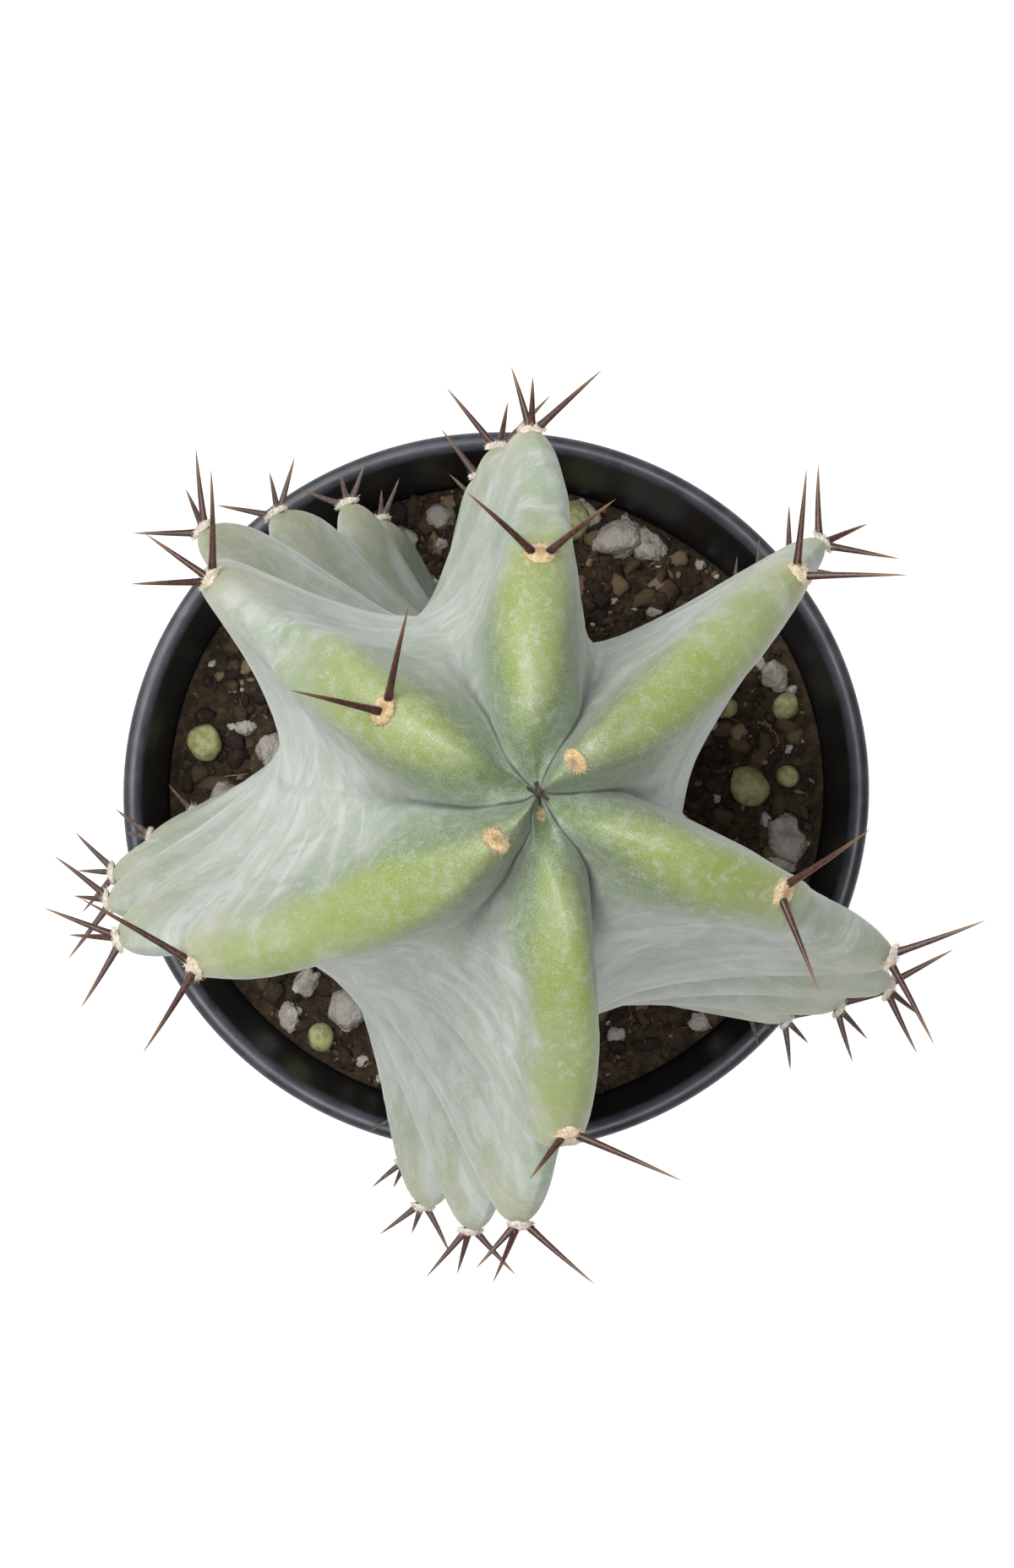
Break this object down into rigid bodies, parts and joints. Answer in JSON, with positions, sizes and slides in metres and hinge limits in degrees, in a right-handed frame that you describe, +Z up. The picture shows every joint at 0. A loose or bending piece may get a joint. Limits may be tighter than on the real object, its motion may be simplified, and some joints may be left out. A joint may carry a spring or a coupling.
{
  "type": "potted columnar cactus",
  "caption": "Organ pipe cactus: one thick ribbed column with spines along its scalloped ribs, standing in a round tapered nursery pot of potting mix.",
  "frame": {"origin": "middle of the flat disc under the pot, on the surface that the pot stands on", "axes": "+Z up along the pot's own middle line; +X is the picture's right and +Y its top, as the picture looks straight down"},
  "size_m": [0.1155, 0.1159, 0.2272],
  "materials": {
    "cactus": "matte",
    "soil": "matte",
    "pot": "satin"
  },
  "bodies": {
    "root": {"cactus": "cactus", "soil": "soil", "pot": "pot"}
  },
  "joints": []
}
